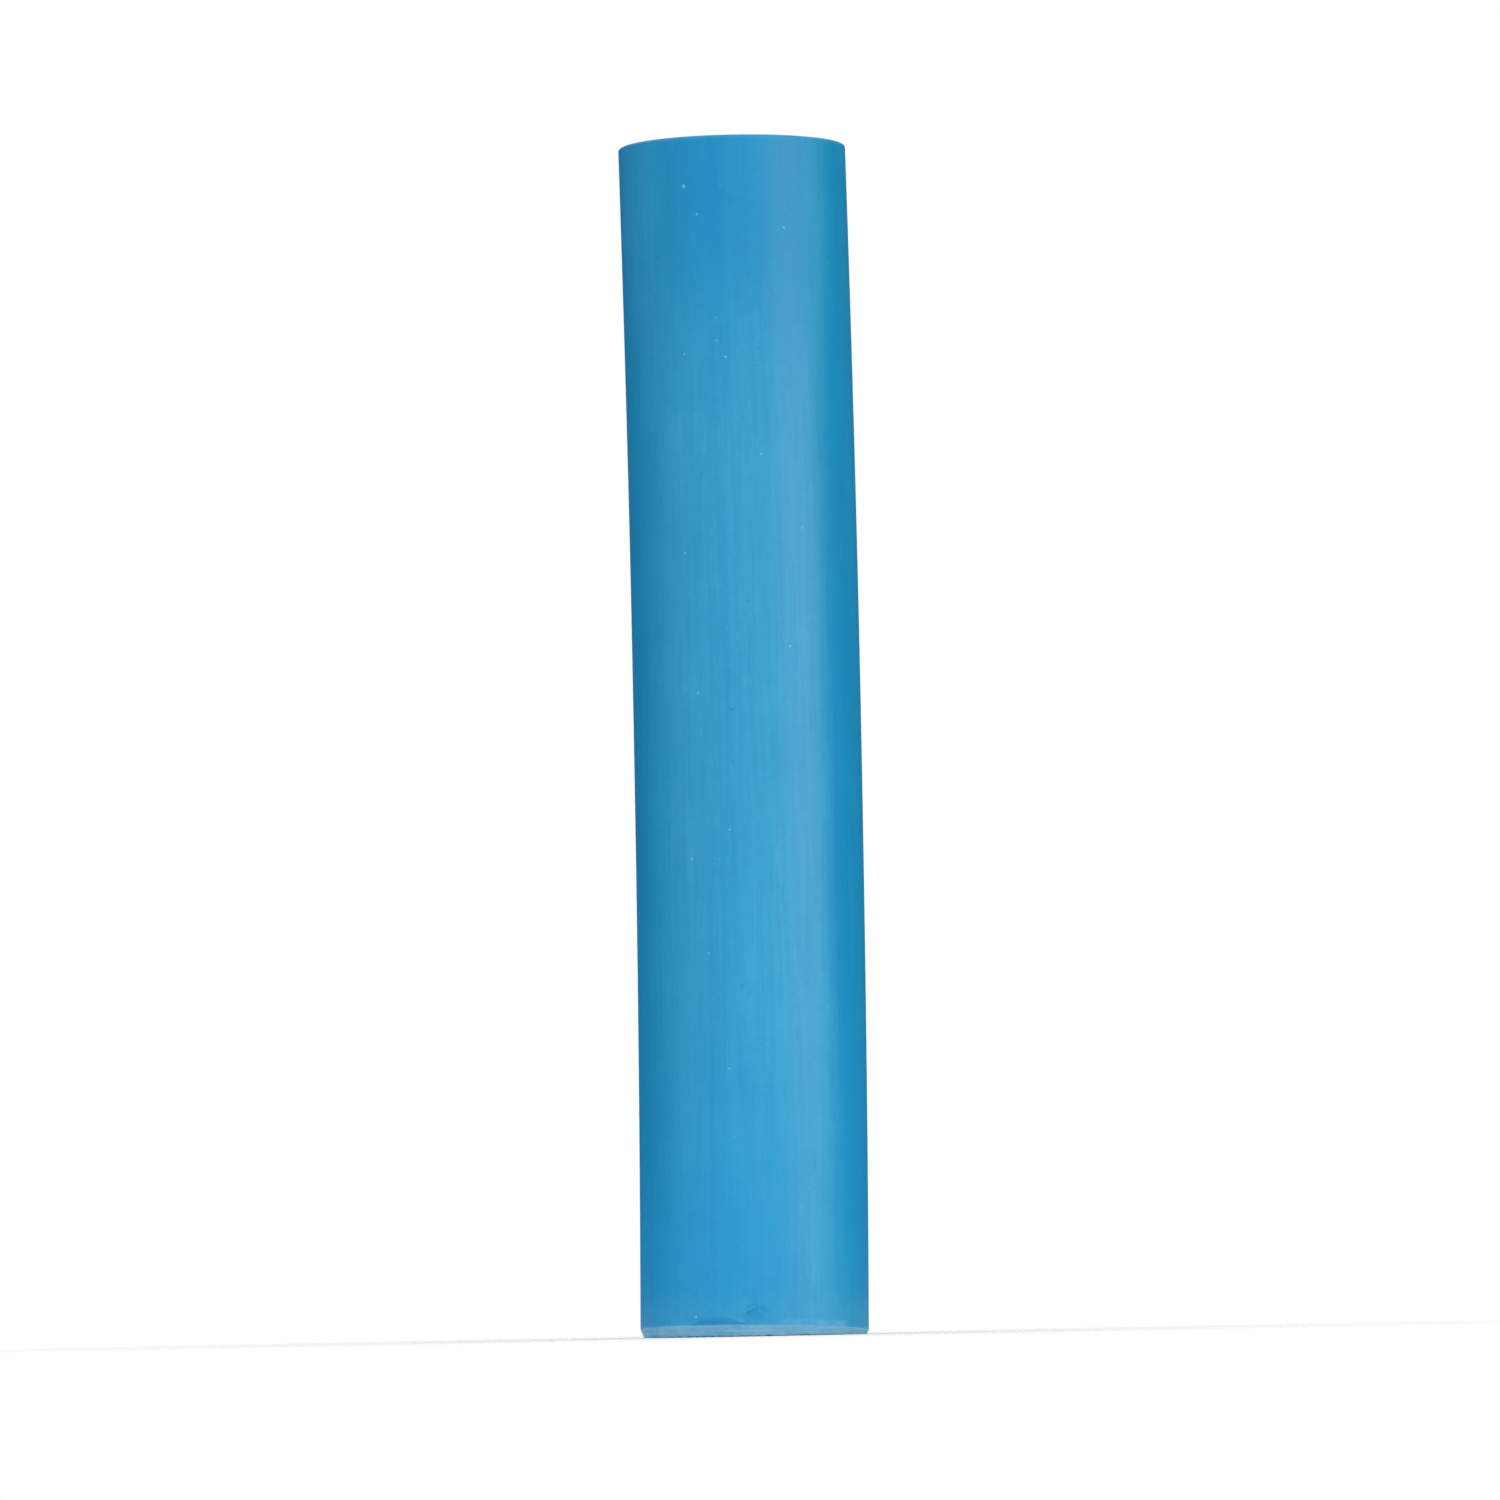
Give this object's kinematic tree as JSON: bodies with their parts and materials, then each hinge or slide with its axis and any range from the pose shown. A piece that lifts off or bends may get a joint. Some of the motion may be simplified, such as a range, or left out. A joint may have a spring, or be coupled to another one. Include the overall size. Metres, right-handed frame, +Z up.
{
  "type": "chalk stick",
  "caption": "Thick round stick of blue chalk, cut square at both ends, for writing and marking by hand.",
  "frame": {"origin": "on the floor, under the middle of the stick's outline, with the stick standing on its foot", "axes": "+Z up the stick from its foot to its head, -Y towards the front with the dent, +X towards the side that the middle bows to"},
  "size_m": [0.0196, 0.0192, 0.1],
  "materials": {
    "chalk": "matte"
  },
  "bodies": {
    "root": {"chalk_stick": "chalk"}
  },
  "joints": []
}
